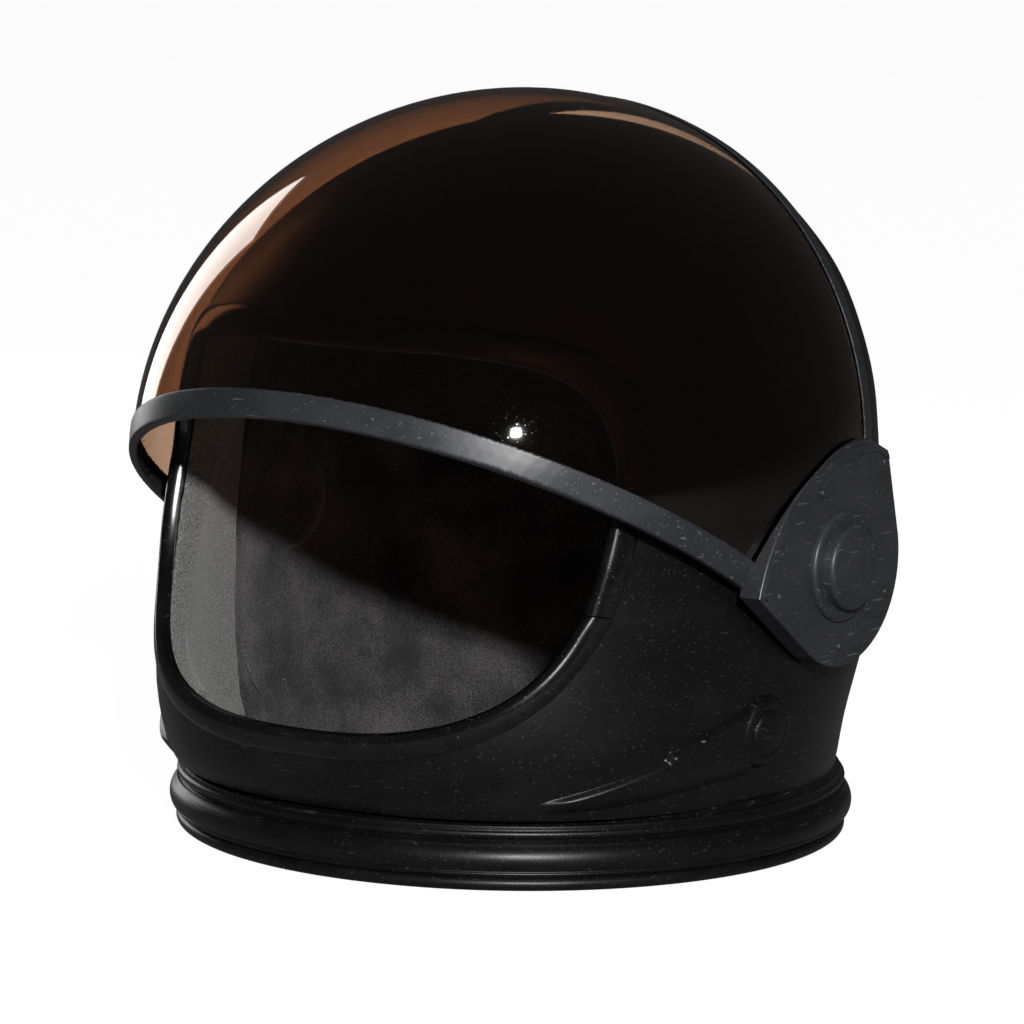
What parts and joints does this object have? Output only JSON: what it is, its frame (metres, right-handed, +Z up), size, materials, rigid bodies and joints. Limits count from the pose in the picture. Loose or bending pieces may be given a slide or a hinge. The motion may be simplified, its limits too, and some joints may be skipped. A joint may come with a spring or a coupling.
{
  "type": "space helmet with flip-up visor",
  "caption": "Costume-style space helmet: round moulded shell on a stepped neck ring, padded inside, with a smoked bubble visor that flips up on ear pivots.",
  "frame": {"origin": "centre of the neck ring's flat foot", "axes": "+Z up to the crown, -Y out of the face opening, +X towards the wearer's left ear"},
  "size_m": [0.3282, 0.3326, 0.3116],
  "materials": {
    "shell_plastic": "black moulded plastic with a satin sheen and fine scuffs",
    "trim_plastic": "glossy black flexible trim",
    "grey_foam": "light grey open foam sheet with a fine sparkle",
    "black_plush": "black short-pile plush over foam",
    "smoked_visor": "glossy smoked brown clear plastic",
    "band_plastic": "charcoal grey satin plastic with light scuffs",
    "washer_nylon": "natural nylon",
    "steel": "zinc-plated steel"
  },
  "bodies": {
    "helmet": {"shell": "shell_plastic", "neck_ring": "shell_plastic", "face_trim": "trim_plastic", "cheek_pad_left": "grey_foam", "cheek_pad_right": "grey_foam", "rear_liner": "black_plush", "crown_pad": "black_plush", "friction_washer_left": "washer_nylon", "friction_washer_right": "washer_nylon", "pivot_bush_left": "steel", "pivot_bush_right": "steel", "pivot_screw_left": "steel", "pivot_screw_right": "steel", "pivot_nut_left": "steel", "pivot_nut_right": "steel"},
    "visor": {"visor": "smoked_visor", "visor_lower_band": "band_plastic", "visor_rear_band": "band_plastic", "pod_left": "band_plastic", "pod_right": "band_plastic", "pivot_cap_left": "band_plastic", "pivot_cap_right": "band_plastic", "pod_rivets_left": "band_plastic", "pod_rivets_right": "band_plastic"}
  },
  "joints": [
    {"name": "visor_flip", "type": "hinge", "parent": "helmet", "child": "visor", "pos_m": [0, 0.012, 0.124], "axis": [1, 0, 0], "range_deg": [0, 44]}
  ]
}
